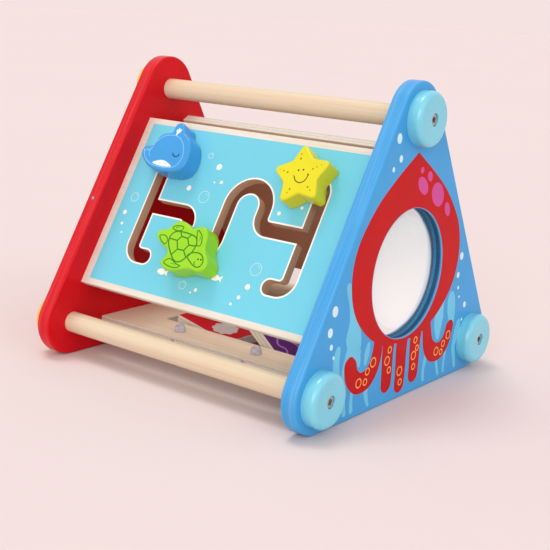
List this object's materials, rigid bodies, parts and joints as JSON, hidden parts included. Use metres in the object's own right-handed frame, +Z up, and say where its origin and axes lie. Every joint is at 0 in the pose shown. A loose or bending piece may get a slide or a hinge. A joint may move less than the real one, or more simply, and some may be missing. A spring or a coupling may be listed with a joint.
{
  "type": "triangular activity box",
  "caption": "Triangular wooden activity box: maze panel with sliding animal blocks, round mirror in one end board, flip doors in the base, and a top rail to carry it by.",
  "frame": {"origin": "on the floor, under the middle of the box", "axes": "+X along the rails towards the end board with the mirror, +Y from the maze side to the plain side, +Z up"},
  "size_m": [0.262, 0.25, 0.2232],
  "materials": {
    "blue_paint": "satin painted",
    "red_paint": "satin painted",
    "pale_blue_paint": "satin painted",
    "amber_paint": "satin painted",
    "dark_red_paint": "satin painted",
    "purple_paint": "satin painted",
    "whale_paint": "satin painted",
    "star_paint": "satin painted",
    "turtle_paint": "satin painted",
    "printed_ply": "printed, satin",
    "plain_ply": "sanded, clear lacquer",
    "bare_wood": "sanded, clear lacquer",
    "steel": "zinc plated",
    "brass": "plain",
    "mirror": "polished",
    "runner_plastic": "moulded",
    "clear_plastic": "clear, domed"
  },
  "bodies": {
    "box": {"blue_end_board": "blue_paint", "red_end_board": "red_paint", "board_edge_pin": "steel", "mirror_disc": "mirror", "carry_rail": "bare_wood", "front_rail": "bare_wood", "rear_rail": "bare_wood", "blue_side_top_cap": "pale_blue_paint", "blue_side_front_cap": "pale_blue_paint", "blue_side_rear_cap": "pale_blue_paint", "blue_side_cap_screws": "steel", "blue_side_inserts": "brass", "red_side_top_cap": "amber_paint", "red_side_front_cap": "amber_paint", "red_side_rear_cap": "amber_paint", "red_side_cap_screws": "steel", "red_side_inserts": "brass", "maze_panel": "printed_ply", "rear_panel": "plain_ply", "base_panel": "plain_ply", "red_door_pins": "steel", "purple_door_pins": "steel", "clear_domes": "clear_plastic"},
    "whale_carriage": {"whale_runner": "runner_plastic"},
    "whale": {"whale_block": "whale_paint", "whale_screw": "steel"},
    "star_carriage": {"star_runner": "runner_plastic"},
    "star": {"star_block": "star_paint", "star_screw": "steel"},
    "turtle_carriage": {"turtle_runner": "runner_plastic"},
    "turtle": {"turtle_block": "turtle_paint", "turtle_screw": "steel"},
    "red_door": {"red_flip_door": "dark_red_paint"},
    "purple_door": {"purple_flip_door": "purple_paint"}
  },
  "joints": [
    {"name": "whale_slide", "type": "slide", "parent": "box", "child": "whale_carriage", "axis": [1, 0, 0], "range_m": [-0.008, 0.0022]},
    {"name": "whale_spin", "type": "hinge", "parent": "whale_carriage", "child": "whale", "pos_m": [-0.06, -0.03113, 0.14609], "axis": [0, -0.866, 0.5], "continuous": true},
    {"name": "star_slide", "type": "slide", "parent": "box", "child": "star_carriage", "axis": [1, 0, 0], "range_m": [-0.0017, 0.0085]},
    {"name": "star_spin", "type": "hinge", "parent": "star_carriage", "child": "star", "pos_m": [0.0595, -0.03113, 0.14609], "axis": [0, -0.866, 0.5], "continuous": true},
    {"name": "turtle_bend", "type": "hinge", "parent": "box", "child": "turtle_carriage", "pos_m": [-0.0155, -0.05763, 0.10019], "axis": [0, -0.866, 0.5], "range_deg": [-90, 90]},
    {"name": "turtle_spin", "type": "hinge", "parent": "turtle_carriage", "child": "turtle", "pos_m": [-0.0155, -0.06538, 0.08676], "axis": [0, -0.866, 0.5], "continuous": true},
    {"name": "red_door_flip", "type": "hinge", "parent": "box", "child": "red_door", "pos_m": [-0.0338, 0, 0.02035], "axis": [0, 1, 0], "continuous": true},
    {"name": "purple_door_flip", "type": "hinge", "parent": "box", "child": "purple_door", "pos_m": [0.0338, 0, 0.02035], "axis": [0, 1, 0], "continuous": true}
  ]
}
